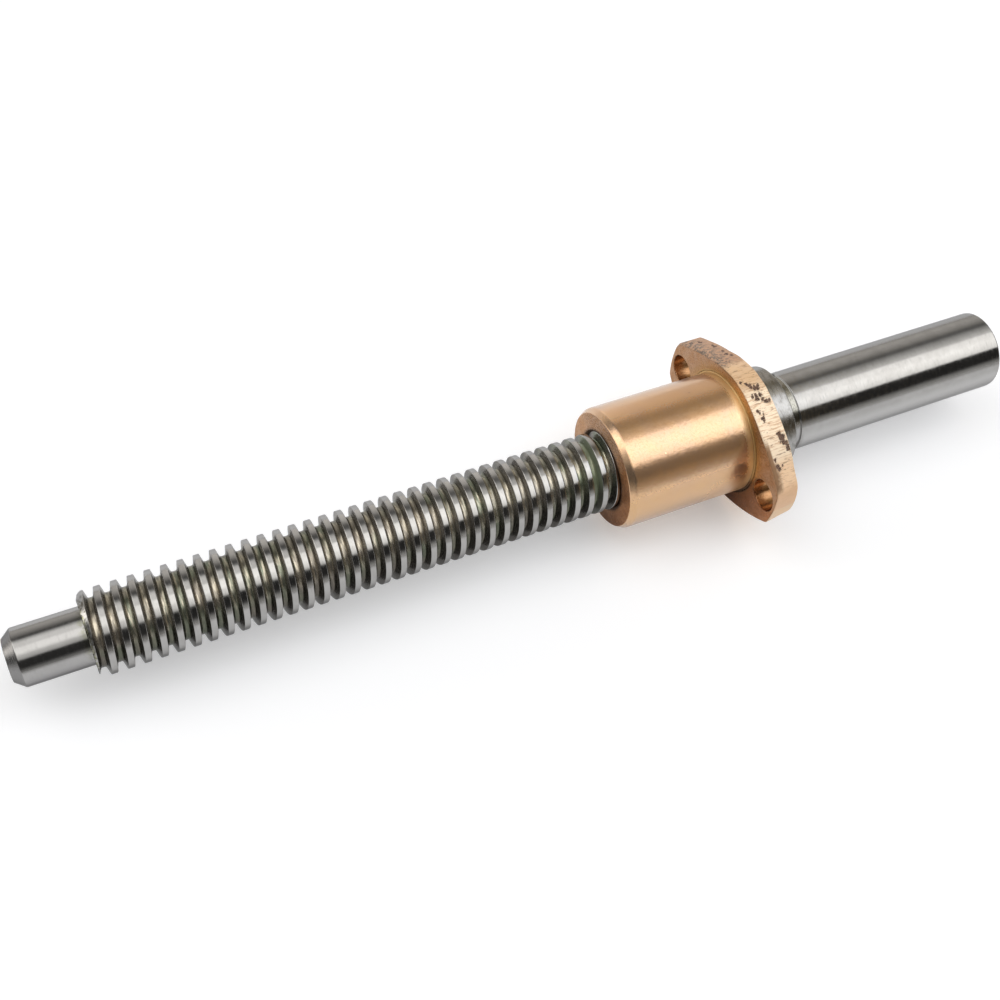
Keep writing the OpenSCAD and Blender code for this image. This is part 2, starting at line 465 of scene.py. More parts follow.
def make_nut():
    """The barrel and the threaded bore, the flange's edge and its holes, and two flat faces between them."""
    s = Surface()
    barrel = rounded(
        [(NUT_FRONT, MOUTH_R), (NUT_FRONT, BARREL_R - BARREL_EDGE_R), (NUT_FRONT + BARREL_EDGE_L, BARREL_R),
         (FLANGE_FRONT, BARREL_R), (FLANGE_FRONT, BARREL_R + 0.5)],
        [0, 0.3, 1.2, BARREL_FILLET, 0], 5)
    mouth, root = s.turned(barrel, NUT_TURN, True)
    near, far = s.threaded(
        thread_profile(CLEAR, 0.06, 0.12), NUT_TURN, NUT_FRONT, NUT_BACK,
        lambda x, r: max(r, MOUTH_R - (x - NUT_FRONT), MOUTH_R - (NUT_BACK - x)))
    s.strip(near, mouth, True)
    first = len(s.faces)
    rings, marks = flange_edge(s)
    last = len(s.faces)
    holes = [bolt_hole(s, side) for side in (-1, 1)]
    s.plate([rings[0], root] + [front for front, _ in holes], -1)
    s.plate([rings[-1], far] + [back for _, back in holes], 1)
    nut = s.object("nut")
    # Everything is faced but the turned barrel and the flange's sawn edge
    inner, behind = BARREL_R - BARREL_EDGE_R - 0.04, FLANGE_FRONT - BARREL_FILLET - 0.01
    index = np.full(len(nut.data.polygons), BARREL_SLOT, np.int32)
    for p in nut.data.polygons:
        reach = math.hypot(p.center.y, p.center.z - AXIS_Z * MM) / MM
        if p.normal.x < -0.9 or reach < inner or p.center.x / MM > behind:
            index[p.index] = FACED_SLOT
    index[first:last] = SAWN_SLOT
    nut.data.polygons.foreach_set("material_index", index)
    share = np.zeros(len(s.verts), np.float32)
    share[list(marks)] = list(marks.values())
    nut.data.attributes.new("pit", "FLOAT", "POINT").data.foreach_set("value", share[s.kept])
    return nut


screw = make_screw()
nut = make_nut()


# ---------------------------------------------------------------- material helpers
Place = namedtuple("Place", "where x y z radius turn")


class Nodes:
    """Short names for adding and joining shader nodes."""

    def __init__(self, tree):
        self.tree = tree

    def add(self, kind, **settings):
        node = self.tree.nodes.new(kind)
        for key, value in settings.items():
            setattr(node, key, value)
        return node

    def link(self, a, b):
        self.tree.links.new(a, b)

    def put(self, socket, value):
        """Links an output to the socket, or sets a plain value on it."""
        if isinstance(value, bpy.types.NodeSocket):
            self.link(value, socket)
        elif isinstance(value, (tuple, list)) and len(value) == 3 and socket.type == "RGBA":
            socket.default_value = (*value, 1)
        else:
            socket.default_value = value

    def fill(self, node, values):
        for i, v in enumerate(values):
            self.put(node.inputs[i], v)
        return node.outputs[0]

    def math(self, op, *values):
        """The operation on the first two values, then on the result and the next one, and so on."""
        out = self.fill(self.add("ShaderNodeMath", operation=op), values[:2])
        return self.math(op, out, *values[2:]) if len(values) > 2 else out

    def mul(self, *values):
        return self.math("MULTIPLY", *values)

    def plus(self, *values):
        return self.math("ADD", *values)

    def minus(self, a, b):
        return self.math("SUBTRACT", a, b)

    def over(self, a, b):
        return self.math("DIVIDE", a, b)

    def most(self, *values):
        return self.math("MAXIMUM", *values)

    def range(self, value, low, high, to_low=0.0, to_high=1.0, smooth=True):
        """to_low at low and to_high at high. Low may be the larger of the two."""
        node = self.add("ShaderNodeMapRange", interpolation_type="SMOOTHSTEP" if smooth else "LINEAR")
        return self.fill(node, (value, low, high, to_low, to_high))

    def band(self, value, low, low_full, high, high_full):
        """1 between low_full and high_full, falling to 0 at low and at high."""
        return self.mul(self.range(value, low, low_full), self.range(value, high, high_full))

    def mix(self, share, a, b, blend="MIX"):
        node = self.add("ShaderNodeMix", data_type="RGBA", blend_type=blend)
        for i, v in ((0, share), (6, a), (7, b)):
            self.put(node.inputs[i], v)
        return node.outputs[2]

    def dye(self, base, share, colour):
        """The base, multiplied by the colour where share is 1."""
        return self.mix(share, base, self.mix(1.0, base, colour, "MULTIPLY"))

    def noise(self, vector, scale, detail, rough):
        node = self.add("ShaderNodeTexNoise")
        self.put(node.inputs["Vector"], vector)
        for key, v in (("Scale", scale), ("Detail", detail), ("Roughness", rough)):
            self.put(node.inputs[key], v)
        return node.outputs[0]

    def drawn(self, axes, per_mm, scale, detail, rough):
        """Noise drawn out into streaks: how fast it changes along each of the three axes."""
        vector = self.fill(self.add("ShaderNodeCombineXYZ"), [self.mul(a, f) for a, f in zip(axes, per_mm)])
        return self.noise(vector, scale, detail, rough)

    def spots(self, at, reach, table):
        """Small marks on a cylinder: place along x, turn in degrees, half length and half width."""
        share = 0.0
        for place, degrees, long, wide in table:
            a = self.over(self.minus(at.x, place), long)
            b = self.mul(self.minus(at.turn, math.radians(degrees)), reach / wide)
            far = self.plus(self.mul(a, a), self.mul(b, b))
            share = self.most(share, self.range(far, 1.0, 0.4))
        return share

    def place(self):
        """The point, its x, y and z, its distance from the axis and its turn, in millimetres and radians."""
        scaled = self.add("ShaderNodeVectorMath", operation="SCALE")
        self.link(self.add("ShaderNodeTexCoord").outputs["Object"], scaled.inputs[0])
        scaled.inputs[3].default_value = 1 / MM
        parts = self.add("ShaderNodeSeparateXYZ")
        self.link(scaled.outputs[0], parts.inputs[0])
        x, y, z = parts.outputs
        z = self.minus(z, AXIS_Z)
        radius = self.math("SQRT", self.plus(self.mul(y, y), self.mul(z, z)))
        return Place(scaled.outputs[0], x, y, z, radius, self.math("ARCTAN2", z, y))


def new_material(name):
    mat = bpy.data.materials.new(name)
    mat.use_nodes = True
    mat.node_tree.nodes.clear()
    n = Nodes(mat.node_tree)
    shader = n.add("ShaderNodeBsdfPrincipled")
    n.link(shader.outputs[0], n.add("ShaderNodeOutputMaterial").inputs[0])
    return mat, n, shader


def surface(n, shader, colour, rough, height):
    """Joins colour, roughness and height, in millimetres, to the shader."""
    n.put(shader.inputs["Base Color"], colour)
    n.put(shader.inputs["Roughness"], rough)
    relief = n.add("ShaderNodeBump")
    relief.inputs["Distance"].default_value = MM
    n.put(relief.inputs["Height"], height)
    n.link(relief.outputs[0], shader.inputs["Normal"])


# ---------------------------------------------------------------- steel
def thread_masks(n, at, speck):
    """Where the thread's walls and roots are, below its crests, and where its roots alone are."""
    inside = n.band(at.x, SHOULDER - 0.02, SHOULDER + 0.02, COLLAR, COLLAR - 0.05)
    below = n.range(n.plus(at.radius, n.mul(speck, 0.08)), CREST_R + 0.01, CREST_R - 0.09)
    lead = n.mul(n.range(at.x, SHOULDER + 1.3, SHOULDER + 1.0), n.range(at.radius, 6.95, 7.1))
    groove = n.mul(inside, below, n.minus(1.0, lead))
    return groove, n.mul(inside, n.range(at.radius, ROOT_R + 0.55, ROOT_R + 0.15))


def thread_oil(n, at, root, glaze, speck, streak):
    """Oil in the grooves: green in some places, brown in others, thin where the steel shines through, with
    painted shade on the roots' far side and darker towards the bottom.
    """
    _, x, y, z, radius, _ = at
    tint = n.drawn((x, y, z), (0.16, 0.11, 0.11), 1.0, 2.0, 0.5)
    right = n.range(x, -30.0, 12.0)
    film = n.mix(n.range(tint, 0.50, 0.64), (0.300, 0.270, 0.225), (0.235, 0.250, 0.190))
    fresh = n.mix(n.range(tint, 0.46, 0.60), (0.400, 0.380, 0.325), (0.260, 0.300, 0.210))
    film = n.mix(n.mul(right, 0.8), film, fresh)
    film = n.mix(n.range(streak, 0.46, 0.62, 0.0, 0.8), film, (0.60, 0.54, 0.43))
    # Painted shade: the roots darker on the far side
    film = n.dye(film, n.range(n.over(y, radius), -0.16, 0.14, 0.0, 0.6), (0.34, 0.36, 0.33))
    film = n.mix(n.mul(glaze, 0.8), film, (0.225, 0.258, 0.165))
    # The roots' film darker towards the bottom
    low = n.range(n.plus(z, n.mul(speck, 1.5)), 5.4, 2.6)
    lower_film = n.mix(n.range(tint, 0.40, 0.56), (0.090, 0.082, 0.071), (0.082, 0.090, 0.066))
    film = n.mix(n.mul(low, n.minus(0.85, n.mul(glaze, 0.35))), film, lower_film)
    wall = n.mix(n.range(streak, 0.40, 0.66), (0.280, 0.265, 0.245), (0.42, 0.400, 0.370))
    wall = n.mix(n.mul(right, n.range(tint, 0.50, 0.62), 0.7), wall, (0.250, 0.285, 0.215))
    wall = n.mix(n.mul(glaze, 0.8), wall, (0.180, 0.215, 0.145))
    # The walls darker towards the bottom
    wall = n.mix(n.range(n.over(z, radius), 0.80, 0.35, 0.0, 0.85), wall, (0.085, 0.079, 0.070))
    return n.mix(root, wall, film)


def bare_steel(n, at, fine, collar, end, journal):
    """The turned metal, with a stain where the journal meets the shoulder and dirt on lead and collar."""
    where, x, y, z, _, _ = at
    cloud = n.noise(where, 0.35, 3.0, 0.55)
    bright = n.mix(n.range(cloud, 0.35, 0.68), (0.350, 0.344, 0.335), (0.385, 0.380, 0.372))
    bright = n.mix(n.mul(n.range(fine, 0.56, 0.70), 0.35), bright, (0.26, 0.255, 0.245))
    seam = n.mul(n.band(x, SHOULDER - 1.5, SHOULDER - 0.4, SHOULDER + 0.5, SHOULDER + 0.3),
                 n.range(n.noise(where, 1.1, 3.0, 0.6), 0.34, 0.60),
                 n.range(z, 0.0, 2.0), n.range(y, 3.0, 0.0))
    bright = n.mix(n.mul(seam, 0.85), bright, (0.22, 0.225, 0.125))
    grime = n.mul(n.band(x, SHOULDER - 0.9, SHOULDER - 0.1, SHOULDER + 1.1, SHOULDER + 0.9),
                  n.range(n.noise(where, 1.9, 3.0, 0.7), 0.45, 0.6))
    bright = n.mix(n.mul(grime, 0.75), bright, (0.10, 0.095, 0.075))
    bright = n.mix(end, bright, (0.145, 0.142, 0.140))
    smear = n.drawn((x, y, z), (0.9, 0.35, 0.35), 1.4, 4.0, 0.65)
    bright = n.mix(n.mul(collar, n.range(smear, 0.46, 0.68, 0.0, 0.72)), bright, (0.20, 0.195, 0.18))
    return n.mix(n.mul(journal, 0.5), bright, (0.335, 0.332, 0.330))


def painted_shade_and_light(n, at, bright, journal):
    """Painted shade on the underside and on the journal's lower side, painted light on the shank's lower side
    and on the far side. All of it stays off the two end faces.
    """
    _, x, y, z, radius, _ = at
    body = n.band(x, X_START + 1.7, X_START + 2.0, X_END - 0.3, X_END - 0.6)
    height = n.over(z, radius)
    # Painted shade: darker on the underside, more so towards the journal's end
    under = n.mul(n.range(height, -0.02, -0.36), n.range(x, -15.0, -60.0, 0.3, 0.75), body)
    bright = n.mix(under, bright, (0.14, 0.137, 0.136))
    # Painted shade: the journal darker on its lower side
    side = n.mul(journal, body, n.range(height, 0.25, -0.10, 0.0, 0.45))
    bright = n.mix(side, bright, (0.20, 0.195, 0.20))
    # Painted light: lighter on the shank's lower side and on the far side
    clean = n.most(n.mul(n.range(x, SHANK, SHANK + 1.0), n.range(height, 0.40, 0.10)),
                   n.range(n.over(y, radius), 0.48, 0.62))
    return n.mix(n.mul(clean, body), bright, (0.48, 0.475, 0.468))


def oiled_relief(n, at, bright, speck, lip):
    """Oil in the relief behind the collar, with painted shade in it, and the lip of the shank with a painted
    highlight and painted shade.
    """
    _, x, y, z, _, _ = at
    gap = n.band(x, RELIEF, RELIEF + 0.1, SHANK - 0.1, SHANK - 0.2)
    bright = n.mix(gap, bright, (0.37, 0.365, 0.36))
    oil = n.mix(n.range(speck, 0.42, 0.60), (0.40, 0.390, 0.34), (0.25, 0.243, 0.205))
    bright = n.mix(n.mul(gap, n.range(z, 4.6, 5.4), 0.8), bright, oil)
    # Painted shade: a dark band high on the near side, and dark in the corner next to the collar on the far
    # side
    dark = n.most(n.mul(n.band(z, 6.7, 6.2, 4.6, 5.2), n.range(y, 1.0, -1.0)),
                  n.mul(n.range(y, -0.6, 0.6), n.range(x, RELIEF + 1.3, RELIEF + 0.9)))
    bright = n.mix(n.mul(gap, dark, 0.8), bright, (0.07, 0.07, 0.06))
    # Painted highlight and painted shade on the lip: light at the top, a dark band below it, grey lower down
    edge = n.mix(n.range(z, 6.2, 6.8), (0.05, 0.05, 0.048), (0.60, 0.595, 0.58))
    return n.mix(lip, bright, n.mix(n.range(z, 5.4, 4.8), edge, (0.32, 0.318, 0.315)))


def steel_material():
    """Turned steel, whose tone changes along the screw, with oil in the thread."""
    mat, n, shader = new_material("turned_steel")
    shader.inputs["Specular Tint"].default_value = (0.5, 0.5, 0.5, 1)
    at = n.place()
    _, x, y, z, radius, _ = at
    along = n.plus(x, radius)                   # runs along cylinders and across end faces alike
    lines = n.drawn((along, y, z), (9.0, 0.12, 0.12), 1.0, 3.0, 0.6)
    fine = n.drawn((along, y, z), (3.0, 0.5, 0.5), 1.3, 4.0, 0.65)
    streak = n.drawn((x, y, z), (2.6, 0.28, 0.28), 1.0, 3.0, 0.6)
    chatter = n.drawn((x, y, z), (0.8, 1.7, 1.7), 1.0, 3.0, 0.6)
    speck = n.noise(at.where, 4.2, 3.0, 0.6)
    end = n.range(x, X_START + 1.95, X_START + 1.8)
    journal = n.range(x, SHOULDER + 0.05, SHOULDER - 0.05)
    glaze = n.band(x, 5.6, 6.4, 9.8, 9.0)
    collar = n.band(x, COLLAR - 0.1, COLLAR, SHANK + 0.1, SHANK - 0.1)
    lip = n.band(x, SHANK - 0.22, SHANK - 0.16, SHANK + 0.03, SHANK - 0.01)
    groove, root = thread_masks(n, at, speck)
    bright = bare_steel(n, at, fine, collar, end, journal)
    bright = painted_shade_and_light(n, at, bright, journal)
    bright = oiled_relief(n, at, bright, speck, lip)
    colour = n.mix(groove, bright, thread_oil(n, at, root, glaze, speck, streak))
    film = n.mul(groove, n.plus(0.22, n.mul(glaze, 0.5)))
    n.put(shader.inputs["Metallic"], n.minus(1.0, n.most(film, n.mul(lip, 0.8))))
    rough = n.plus(0.085, n.mul(n.range(fine, 0.35, 0.75), 0.11), n.mul(n.most(collar, end), 0.10),
                   n.mul(groove, 0.10))
    height = n.plus(n.mul(lines, 0.0016), n.mul(fine, 0.0010), n.mul(chatter, 0.0035),
                    n.mul(speck, collar, 0.008), n.mul(streak, groove, 0.05))
    surface(n, shader, colour, rough, height)
    return mat


# ---------------------------------------------------------------- bronze
# Marks on the barrel: place along x, turn in degrees, half length and half width
DARK_SPOTS = [(31.2, 73, 0.22, 0.16), (23.7, 57, 0.30, 0.09), (27.4, 64, 0.12, 0.10), (17.9, 60, 0.10, 0.14)]
LIGHT_NICKS = [(20.6, 124, 0.10, 0.18)]
SCRATCHES = [(36.6, 108, 0.06, 1.3), (35.9, 113, 0.05, 0.9), (33.2, 96, 0.05, 0.7)]


def barrel_material():
    """Turned bronze on the barrel, under a thin film of oil."""
    mat, n, shader = new_material("turned_bronze")
    shader.inputs["Metallic"].default_value = 0.9
    shader.inputs["Specular Tint"].default_value = (0.65, 0.6, 0.55, 1)
    shader.inputs["Coat Weight"].default_value = 1.0
    shader.inputs["Coat Roughness"].default_value = 0.30
    shader.inputs["Coat IOR"].default_value = 1.7
    at = n.place()
    where, x, y, z, radius, _ = at
    lines = n.drawn((x, y, z), (2.6, 0.1, 0.1), 1.0, 4.0, 0.65)
    grain = n.noise(where, 2.3, 3.0, 0.55)
    cloud = n.noise(where, 0.22, 3.0, 0.55)
    patch = n.noise(where, 0.9, 4.0, 0.6)
    base = n.mix(n.range(cloud, 0.38, 0.64), (0.70, 0.430, 0.230), (0.665, 0.415, 0.245))
    base = n.mix(n.mul(n.range(grain, 0.50, 0.66), 0.2), base, (0.50, 0.250, 0.080))
    base = n.mix(n.range(patch, 0.56, 0.72, 0.0, 0.25), base, (0.56, 0.300, 0.130))
    # Painted shade: darker and more saturated lower on the barrel
    base = n.mix(n.range(n.over(z, radius), 0.55, 0.25, 0.0, 0.30), base, (0.43, 0.235, 0.030))
    # Painted highlight: a light strip on the upper barrel next to the flange, also rougher
    painted_highlight_strip = n.mul(n.range(x, FLANGE_FRONT - 2.2, FLANGE_FRONT - 0.9), n.range(z, -3.0, 1.0))
    base = n.mix(painted_highlight_strip, base, (0.98, 0.70, 0.37))
    base = n.mix(n.spots(at, BARREL_R, DARK_SPOTS), base, (0.10, 0.055, 0.03))
    base = n.mix(n.spots(at, BARREL_R, LIGHT_NICKS), base, (0.95, 0.75, 0.45))
    base = n.mix(n.mul(n.spots(at, BARREL_R, SCRATCHES), 0.45), base, (0.42, 0.22, 0.08))
    dull = n.mul(n.range(x, FLANGE_FRONT - 12.0, FLANGE_FRONT - 6.5), n.range(z, 4.0, -3.0, 0.0, 0.42))
    rough = n.plus(0.13, n.mul(n.range(grain, 0.38, 0.66), 0.09), dull, n.mul(painted_highlight_strip, 0.2),
                   n.range(patch, 0.40, 0.65, 0.0, 0.04))
    height = n.plus(n.mul(lines, 0.010), n.mul(grain, 0.013), n.mul(cloud, 0.05))
    surface(n, shader, base, rough, height)
    return mat


def flange_corner(n, at, base):
    """The corner around the barrel: a painted golden highlight on the fillet, darker on its near side and
    greenish grey lower down, and a painted reflection of the barrel, richer bronze, on the face near it.
    """
    _, x, y, z, radius, _ = at
    fore = n.band(x, FLANGE_FRONT - 0.8, FLANGE_FRONT - 0.5, FLANGE_FRONT + 0.4, FLANGE_FRONT + 0.2)
    # Painted reflection of the barrel: richer bronze on the face near it
    near = n.mul(n.range(radius, BARREL_R + 3.15, BARREL_R + 0.75), fore)
    base = n.mix(n.mul(near, 0.7), base, (0.50, 0.270, 0.095))
    # Painted highlight: the fillet golden, darker on its near side, greenish grey lower down
    corner = n.mul(fore, n.range(radius, BARREL_R + 0.85, BARREL_R + 0.5))
    fillet_highlight_and_grey = n.mix(n.range(y, -9.0, -5.0), (0.40, 0.240, 0.095), (0.72, 0.480, 0.220))
    fillet_highlight_and_grey = n.mix(n.range(z, 0.5, -3.5), fillet_highlight_and_grey, (0.185, 0.165, 0.115))
    return n.mix(n.mul(corner, 0.85), base, fillet_highlight_and_grey), corner


def front_face(n, at, base, front, cast, mottle, drift):
    """The barrel's front face: rough and pale at the top, with painted shade lower down and on its near side,
    dark at the thread's mouth.
    """
    where, x, y, z, radius, _ = at
    pale = n.mul(cast, n.range(n.noise(where, 3.0, 4.0, 0.7), 0.50, 0.60, 0.0, 0.6))
    base = n.mix(pale, base, (0.66, 0.455, 0.340))
    mouth = n.mul(n.range(n.plus(radius, mottle), 9.5, 8.7), n.range(x, NUT_FRONT + 1.5, NUT_FRONT + 0.5))
    base = n.mix(n.mul(mouth, 0.9), base, (0.10, 0.055, 0.032))
    # Painted shade: the face darker and warmer on its near side and lower down
    base = n.dye(base, n.mul(front, n.range(y, -2.0, -9.0)), (0.88, 0.66, 0.46))
    low = n.mul(n.range(n.plus(z, drift), 4.0, -12.0), front, 0.95)
    return n.dye(base, low, (0.24, 0.18, 0.15))


def lobes(n, at, base, drift):
    """The flange's front face, with painted shade: its far side darker, and its near lobe brown and darker
    towards the barrel.
    """
    _, x, y, z, _, _ = at
    face = n.band(x, FLANGE_FRONT - 0.8, FLANGE_FRONT - 0.5, FLANGE_FRONT + 0.3, FLANGE_FRONT + 0.1)
    # Painted shade: the far side darker
    base = n.dye(base, n.mul(face, n.range(y, -1.0, 3.0, 0.0, 0.22)), (0.07, 0.03, 0.03))
    # Painted shade on the near lower lobe, deepest towards the barrel
    lobe = n.mul(face, n.range(z, 2.0, -2.5), n.range(y, -3.0, -7.0))
    base = n.dye(base, lobe, (0.82, 0.62, 0.50))
    out = n.plus(n.mul(y, -0.97), n.mul(z, 0.23), n.mul(drift, 0.4))
    painted_shade_by_barrel = n.range(out, 19.0, 6.0, 0.0, 0.9, smooth=False)
    return n.dye(base, n.mul(lobe, painted_shade_by_barrel), (0.08, 0.03, 0.02))


def faced_material():
    """Duller bronze: the nut's faces, its holes, the corner under the flange and the thread."""
    mat, n, shader = new_material("faced_bronze")
    shader.inputs["Metallic"].default_value = 0.9
    shader.inputs["Specular Tint"].default_value = (0.8, 0.75, 0.7, 1)
    at = n.place()
    where, x, y, z, radius, _ = at
    rings = n.drawn((radius, y, z), (2.2, 0.08, 0.08), 1.0, 3.0, 0.6)
    grain = n.noise(where, 4.0, 3.0, 0.62)
    patch = n.noise(where, 0.55, 4.0, 0.6)
    mottle = n.noise(where, 1.9, 5.0, 0.72)
    front = n.range(x, NUT_FRONT + 1.0, NUT_FRONT + 0.5)
    cast = n.mul(front, n.range(z, 4.0, 8.5))
    bore = n.mul(n.band(x, FLANGE_FRONT + 0.04, FLANGE_FRONT + 0.3, NUT_BACK - 0.04, NUT_BACK - 0.3),
                 n.range(radius, HOLE_AT - HOLE_R - 0.3, HOLE_AT - HOLE_R - 0.1))
    base = n.mix(n.range(patch, 0.38, 0.62), (0.50, 0.275, 0.140), (0.55, 0.335, 0.205))
    base = n.mix(n.range(mottle, 0.52, 0.66, 0.0, 0.6), base, (0.33, 0.180, 0.115))
    base, corner = flange_corner(n, at, base)
    base = n.mix(bore, base, n.mix(n.range(mottle, 0.4, 0.6), (0.46, 0.250, 0.120), (0.38, 0.200, 0.090)))
    # Grey stains along the upper flank
    grey = n.mul(n.range(mottle, 0.47, 0.58), n.band(y, 13.5, 10.5, 0.5, 4.0),
                 n.range(n.plus(n.mul(y, 0.42), z), 15.2, 16.6))
    base = n.mix(n.mul(grey, 0.75), base, (0.235, 0.225, 0.195))
    drift = n.mul(n.minus(patch, 0.5), 5.0)
    base = front_face(n, at, base, front, cast, mottle, drift)
    base = lobes(n, at, base, drift)
    rough = n.plus(0.24, n.mul(n.range(grain, 0.36, 0.66), 0.16), n.mul(n.most(grey, corner), 0.2))
    rough = n.minus(rough, n.mul(bore, 0.13))
    uneven = n.mul(n.range(z, -2.0, 8.0, 0.05, 0.16), n.minus(1.0, n.mul(bore, 0.85)))
    height = n.plus(n.mul(rings, 0.012), n.mul(grain, 0.010), n.mul(mottle, uneven),
                    n.mul(mottle, cast, 0.55))
    surface(n, shader, base, rough, height)
    return mat


def rough_flank(n, at, degrees, mottle, rust):
    """The casting's own skin, left on the upper flank, with dark scale towards the front."""
    part = n.mul(n.range(n.plus(degrees, n.mul(mottle, 16.0)), 79, 70), n.range(degrees, -12, 4))
    cast = n.mix(n.range(mottle, 0.44, 0.60), (0.58, 0.355, 0.225), (0.44, 0.285, 0.200))
    front = n.range(at.x, FLANGE_FRONT + 4.0, FLANGE_FRONT + 1.2)
    scale = n.mul(n.range(n.noise(at.where, 1.25, 5.0, 0.68), 0.47, 0.55), front, 0.9)
    dark = n.mix(n.range(rust, 0.44, 0.56), (0.25, 0.215, 0.175), (0.115, 0.080, 0.060))
    return part, n.mix(scale, cast, dark)


def sawn_material():
    """The flange's edge: sawn bronze with lines across it, dark casting pits and a rough upper flank."""
    mat, n, shader = new_material("sawn_bronze")
    at = n.place()
    where, x, y, z, _, turn = at
    degrees = n.mul(turn, 180 / math.pi)
    n.put(shader.inputs["Metallic"], n.range(degrees, 126, 150, 0.3, 0.08))
    saw = n.drawn((x, y, z), (0.35, 3.2, 3.2), 1.0, 4.0, 0.65)
    nick = n.drawn((x, y, z), (0.7, 2.1, 2.1), 1.0, 2.0, 0.5)
    cloud = n.noise(where, 0.3, 3.0, 0.5)
    rust = n.noise(where, 2.4, 5.0, 0.75)
    mottle = n.noise(where, 1.3, 4.0, 0.65)
    base = n.mix(n.range(cloud, 0.36, 0.64), (0.83, 0.57, 0.340), (0.81, 0.570, 0.365))
    # Painted light: the edge paler from its top round to its near side; nearer the side it turns warmer, then
    # darker
    base = n.mix(n.band(degrees, 90, 104, 166, 156), base, (0.97, 0.800, 0.600))
    base = n.mix(n.range(degrees, 146, 156), base, (0.97, 0.690, 0.450))
    base = n.mix(n.range(degrees, 162, 170), base, (0.80, 0.500, 0.285))
    lines = n.mul(n.range(saw, 0.48, 0.64), n.range(z, 2.0, 9.0, 0.15, 0.75))
    base = n.mix(lines, base, (0.60, 0.345, 0.18))
    base = n.mix(n.mul(n.range(nick, 0.60, 0.68), n.range(z, 4.0, 9.0), 0.7), base, (0.33, 0.18, 0.10))
    rough_part, cast = rough_flank(n, at, degrees, mottle, rust)
    base = n.mix(rough_part, base, cast)
    # Stained and worn brown along the near lobe's front corner
    stain = n.mul(n.range(x, FLANGE_FRONT + 2.0, FLANGE_FRONT + 0.7), n.band(degrees, 149, 154, 169, 164),
                  n.range(mottle, 0.34, 0.48, 0.55, 0.95))
    base = n.mix(stain, base, (0.23, 0.125, 0.062))
    corner = n.mul(n.range(x, FLANGE_FRONT + 0.95, FLANGE_FRONT + 0.6), n.band(degrees, 134, 144, 166, 160))
    base = n.mix(corner, base, (0.30, 0.165, 0.080))
    # The pits' insides, with a broken rim
    pit_share = n.add("ShaderNodeAttribute", attribute_name="pit").outputs["Fac"]
    hollow = n.range(n.plus(pit_share, n.mul(n.minus(rust, 0.5), 3.4)), 0.38, 0.62)
    hollow = n.mul(hollow, n.range(pit_share, 0.02, 0.2))
    inner = n.range(n.noise(where, 5.5, 3.0, 0.6), 0.42, 0.58)
    base = n.mix(hollow, base, n.mix(inner, (0.055, 0.036, 0.030), (0.26, 0.150, 0.098)))
    rough = n.plus(0.42, n.mul(n.most(hollow, rough_part), 0.2))
    height = n.plus(n.mul(saw, 0.09), n.mul(rust, hollow, -0.10), n.mul(mottle, rough_part, 0.25))
    surface(n, shader, base, rough, height)
    return mat


screw.data.materials.append(steel_material())
for make in (barrel_material, sawn_material, faced_material):   # in the order of the nut's slots
    nut.data.materials.append(make())

for piece, node, body, slot in (
        (screw, "lead_screw", "screw", "steel"),
        (nut, "flanged_nut", "nut", "bronze")):
    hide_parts(node)
    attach(piece, body)


# ---------------------------------------------------------------- floor
FLOOR_RINGS = (0.4, 1.2, 3.0)                # radii in metres
FLOOR_TURN = 96


def floor_material():
    """Pale and plain, with a faint glow, painted light that keeps it white and its shadows faint; a little
    darker far outside the view, where the studio's light falls off.
    """
    mat, n, shader = new_material("studio_floor")
    place = n.add("ShaderNodeSeparateXYZ")
    n.link(n.add("ShaderNodeTexCoord").outputs["Object"], place.inputs[0])
    x, y, _ = place.outputs
    side, away = n.minus(x, 0.04), n.minus(y, 0.10)
    far = n.math("SQRT", n.plus(n.mul(side, side), n.mul(away, away)))
    fall = n.mul(n.range(far, 0.22, 0.40), n.range(away, 0.5, -0.05))
    n.put(shader.inputs["Base Color"], n.mix(fall, (0.79, 0.80, 0.83), (0.56, 0.565, 0.575)))
    shader.inputs["Roughness"].default_value = 0.9
    # Painted light: the floor glows faintly, less far out
    n.put(shader.inputs["Emission Color"], n.mix(fall, (0.97, 0.985, 1.0), (0.30, 0.30, 0.30)))
    shader.inputs["Emission Strength"].default_value = 0.28
    return mat


def make_floor():
    """A wide disc at the object's foot."""
    verts, faces = [(0, 0, 0)], []
    for r in FLOOR_RINGS:
        for j in range(FLOOR_TURN):
            a = 2 * math.pi * j / FLOOR_TURN
            verts.append((r * math.cos(a), r * math.sin(a), 0))
    for j in range(FLOOR_TURN):
        faces.append((0, 1 + j, 1 + (j + 1) % FLOOR_TURN))
    for k in range(len(FLOOR_RINGS) - 1):
        for j in range(FLOOR_TURN):
            a, b = 1 + k * FLOOR_TURN + j, 1 + k * FLOOR_TURN + (j + 1) % FLOOR_TURN
            faces.append((a, a + FLOOR_TURN, b + FLOOR_TURN, b))
    mesh = bpy.data.meshes.new("floor")
    mesh.from_pydata(verts, [], faces)
    floor = bpy.data.objects.new("floor", mesh)
    bpy.context.scene.collection.objects.link(floor)
    floor.data.materials.append(floor_material())


make_floor()


